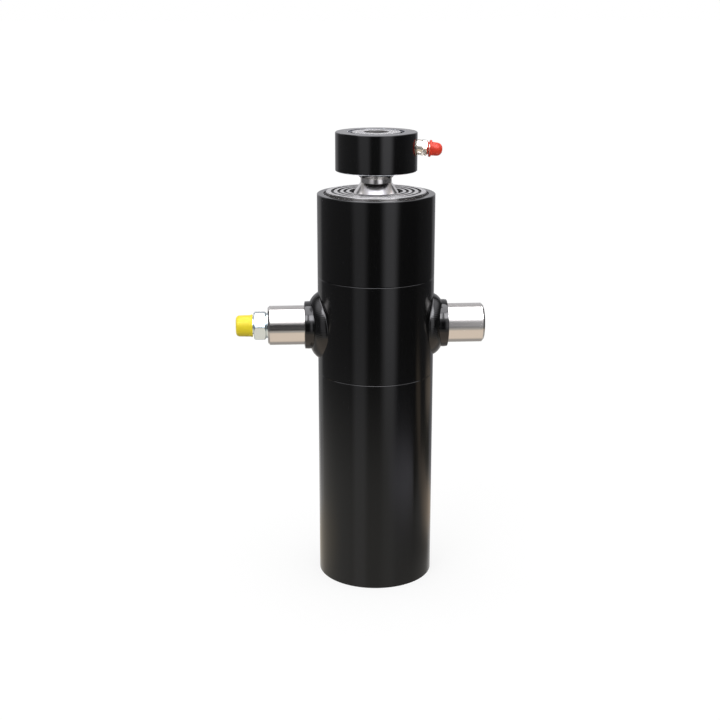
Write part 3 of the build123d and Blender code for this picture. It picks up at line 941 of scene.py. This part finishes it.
# What stands low round the studio and shows in the paint, in degrees:
# azimuth, elevation, half width, half height, lean, colour
low_reflections = (
    (53, -21.4, 30, 1.5, 0, (0.92, 0.90, 1.0)),
    (95, -24.5, 52, 0.6, 0, (0.11, 0.10, 0.10)),
    (84, -20.6, 5, 2.0, 0, (0.12, 0.11, 0.10)),
    (92, -18.0, 7, 2.2, -2, (0.42, 0.34, 0.26)),
    (110, -21.6, 15, 1.3, -7, (0.56, 0.46, 0.38)),
    (132, -22.7, 28, 1.1, 0, (0.80, 0.65, 0.51)),
    (120, -19.6, 15, 1.4, -8, (0.08, 0.08, 0.07)),
    (128, -17.4, 14, 1.3, 0, (0.48, 0.40, 0.32)),
    (-130, -24.2, 48, 1.6, 0, (0.74, 0.67, 0.56)),
    (-148, -14.5, 9, 8.0, 0, (0.40, 0.40, 0.40)),
)


class CYLINDER_OT_studio(bpy.types.Operator):
    """Lay the floor and set the light and the camera"""

    bl_idname = "cylinder.studio"
    bl_label = "Studio"

    def execute(self, context):
        self.floor()
        self.world(context)
        self.key_light()
        self.camera(context)
        context.scene.view_settings.view_transform = "Standard"
        return {"FINISHED"}

    def floor(self):
        """A white floor that keeps a quarter of the object's shadow."""
        material, graph = new_material("white_floor")
        held = 0.25
        matte = graph.add("ShaderNodeBsdfDiffuse", None, {"Color": (held, held, held, 1)})
        glow = graph.add("ShaderNodeEmission", None, {"Color": (1, 1, 1, 1), "Strength": 1 - held})
        lit = graph.add("ShaderNodeAddShader", None, {0: matte, 1: glow})
        seen = graph.add("ShaderNodeLightPath", output="Is Camera Ray")
        mixed = graph.add("ShaderNodeMixShader", None, {0: seen, 1: matte, 2: lit})
        graph.add("ShaderNodeOutputMaterial", None, {"Surface": mixed})
        bm = bmesh.new()
        bmesh.ops.create_grid(bm, x_segments=1, y_segments=1, size=40)
        mesh = bpy.data.meshes.new("floor")
        bm.to_mesh(mesh)
        bm.free()
        mesh.materials.append(material)
        floor = bpy.data.objects.new("floor", mesh)
        bpy.context.scene.collection.objects.link(floor)
        floor.visible_glossy = False

    def world(self, context):
        """White to the camera, soft and even to matt surfaces, a studio to glossy ones."""
        world = bpy.data.worlds.new("studio")
        world.use_nodes = True
        world.cycles.sampling_method = "NONE"
        context.scene.world = world
        graph = Graph(world.node_tree)
        towards = graph.add("ShaderNodeTexCoord", output="Generated")
        split = graph.add("ShaderNodeSeparateXYZ", inputs={0: towards}).socket.node
        x, y, z = [Value(graph, socket) for socket in split.outputs]
        degree = math.degrees(1)
        round_about = graph.maths("ARCTAN2", x, 0 - y) * degree
        up = graph.maths("ARCSINE", z) * degree
        light = self.room(graph, round_about, up) + self.soft_boxes(graph, round_about, up)
        light = light + self.above(graph, round_about, up) + self.behind(graph, round_about, up)
        cool = {0: light, 1: light * 0.995, 2: light * 1.04}
        colour = graph.add("ShaderNodeCombineXYZ", None, cool)
        far_floor = self.far_floor(graph, round_about, up)
        colour = graph.add("ShaderNodeVectorMath", {"operation": "ADD"}, {0: colour, 1: far_floor})
        for azimuth, elevation, wide, high, lean, tint in low_reflections:
            across = (round_about - azimuth - (up - elevation) * lean) / wide
            along = (up - elevation) / high
            inside = 1 - graph.rise(across * across + along * along, 0.3, 1.5)
            colour = graph.mix(inside, colour, tint)
        # The floor by the cylinder's foot is pale and warm in front of it, darker behind it
        near = 1 - graph.rise(up, -36, -27)
        near_floor = graph.mix(graph.rise(y, 0.0, 0.35), (0.95, 0.82, 0.70), (0.42, 0.40, 0.38))
        glossy = graph.mix(near, colour, near_floor)
        level = 0.97 + 0.12 * z
        matt = graph.add("ShaderNodeCombineXYZ", None, {0: level, 1: level, 2: level})

        path = graph.add("ShaderNodeLightPath").socket.node
        camera_ray = Value(graph, path.outputs["Is Camera Ray"])
        glossy_ray = Value(graph, path.outputs["Is Glossy Ray"])
        colour = graph.mix(glossy_ray, matt, glossy)
        colour = graph.mix(camera_ray, colour, (1, 1, 1))
        background = graph.add("ShaderNodeBackground", None, {"Color": colour, "Strength": 1.0})
        graph.add("ShaderNodeOutputWorld", None, {"Surface": background})

    def room(self, graph, round_about, up):
        """The dim room, a little lighter on the left and at the horizon."""
        level = 0.045 + 0.075 * (1 - graph.rise(round_about, -62, -46))
        level = level + 0.03 * graph.rise(round_about, 75, 95)
        return level + 0.05 * graph.rise(up, -10, -6) * (1 - graph.rise(up, -6, -1))

    def soft_boxes(self, graph, round_about, up):
        """A tall soft box on each side of the camera, dimmer towards the floor."""
        spread = 6 * graph.rise(up, -10, -6)
        left = graph.rise(round_about + spread, -56, -42)
        left = left * (1 - graph.rise(round_about, -30, -16))
        left = left * (0.37 + 0.2 * graph.rise(up, -10, -5))
        left = left * (0.5 + 0.5 * graph.rise(up, -24, -18))
        right = graph.rise(round_about, 2, 19)
        right = right * (1 - graph.rise(round_about - spread, 28, 44))
        right = right * (0.78 + 0.3 * graph.rise(up, -10, -5))
        right = right * (0.1 + 0.9 * graph.rise(up, -23, -13.5))
        return (left + right) * (1 - graph.rise(up, 40, 60))

    def above(self, graph, round_about, up):
        """A panel overhead that ends behind, brightest at the zenith, and two lamps in front."""
        aside = graph.maths("ABSOLUTE", round_about)
        behind = graph.rise(aside, 100, 130) * (1 - graph.rise(up, 58, 66))
        panel = 1.9 * graph.rise(up, 13, 43) * (1 - behind)
        zenith = 2.8 * graph.rise(up, 58, 68)
        lamps = graph.band(round_about, -50, -14, 8) + graph.band(round_about, 6, 46, 6)
        return panel + zenith + 7 * lamps * graph.band(up, 38, 56, 8)

    def behind(self, graph, round_about, up):
        """The wall behind the cylinder."""
        aside = graph.maths("ABSOLUTE", round_about)
        wall = graph.rise(aside, 132, 144) * (1 - graph.rise(up, 50, 62))
        return wall * (0.22 + 0.36 * graph.rise(up, -4, 6))

    def far_floor(self, graph, round_about, up):
        """The floor far off, slightly warm, which reaches higher on the left."""
        right = graph.rise(round_about, 24, 42)
        level = 0.44 * (1 - graph.rise(up, -23, -16)) * (1 - right)
        level = level + 0.4 * (1 - graph.rise(up, -24, -20)) * right
        warm = {0: level, 1: level * 0.97, 2: level * 0.9}
        return graph.add("ShaderNodeCombineXYZ", None, warm)

    def key_light(self):
        """A large soft lamp, above and in front, that only gives shade and shadow."""
        lamp = bpy.data.lights.new("soft_key", "AREA")
        lamp.shape = "DISK"
        lamp.size = 2.2
        lamp.energy = 14.0
        key = bpy.data.objects.new("soft_key", lamp)
        key.location = (-1.6, -2.2, 2.8)
        key.rotation_euler = (Vector((0, 0, 0.3)) - key.location).to_track_quat("-Z", "Y").to_euler()
        key.visible_glossy = False
        bpy.context.scene.collection.objects.link(key)

    def camera(self, context):
        studio = context.scene.cylinder_studio
        data = bpy.data.cameras.new("photo_camera")
        data.sensor_width = 36
        data.lens = studio.lens
        data.shift_y = -studio.crop
        camera = bpy.data.objects.new("photo_camera", data)
        context.scene.collection.objects.link(camera)
        camera.location = (
            -studio.distance * math.sin(studio.azimuth),
            -studio.distance * math.cos(studio.azimuth),
            studio.height,
        )
        heading = studio.azimuth - studio.yaw
        ahead = Vector((
            math.sin(heading) * math.cos(studio.pitch),
            math.cos(heading) * math.cos(studio.pitch),
            -math.sin(studio.pitch),
        ))
        camera.rotation_mode = "QUATERNION"
        camera.rotation_quaternion = ahead.to_track_quat("-Z", "Y")
        context.scene.camera = camera


class CYLINDER_PT_panel(bpy.types.Panel):
    """Lists the cylinder's settings and its operators"""

    bl_idname = "CYLINDER_PT_panel"
    bl_label = "Tipping Cylinder"
    bl_space_type = "VIEW_3D"
    bl_region_type = "UI"
    bl_category = "Tipping Cylinder"

    def draw(self, context):
        layout = self.layout
        for group, members in settings_groups.items():
            settings = getattr(context.scene, group)
            box = layout.box()
            box.label(text=members.__doc__)
            for name in members.__annotations__:
                box.prop(settings, name)
        for operator in operators:
            layout.operator(operator.bl_idname)


settings_groups = {
    "cylinder_finish": FinishSettings,
    "cylinder_weld": WeldSettings,
    "cylinder_inlet": InletSettings,
    "cylinder_grease": GreaseSettings,
    "cylinder_studio": StudioSettings,
}
operators = (
    CYLINDER_OT_barrel,
    CYLINDER_OT_trunnions,
    CYLINDER_OT_inlet,
    CYLINDER_OT_stages,
    CYLINDER_OT_stud,
    CYLINDER_OT_head,
    CYLINDER_OT_grease_point,
    CYLINDER_OT_studio,
)


def register():
    for group, settings in settings_groups.items():
        bpy.utils.register_class(settings)
        setattr(bpy.types.Scene, group, PointerProperty(type=settings))
    for operator in operators:
        bpy.utils.register_class(operator)
    bpy.utils.register_class(CYLINDER_PT_panel)


def unregister():
    bpy.utils.unregister_class(CYLINDER_PT_panel)
    for operator in reversed(operators):
        bpy.utils.unregister_class(operator)
    for group, settings in reversed(settings_groups.items()):
        delattr(bpy.types.Scene, group)
        bpy.utils.unregister_class(settings)


def main():
    register()
    bpy.ops.cylinder.barrel()
    bpy.ops.cylinder.trunnions()
    bpy.ops.cylinder.inlet()
    bpy.ops.cylinder.stages()
    bpy.ops.cylinder.stud()
    bpy.ops.cylinder.head()
    bpy.ops.cylinder.grease_point()
    bpy.ops.cylinder.studio()


if __name__ == "__main__":
    main()
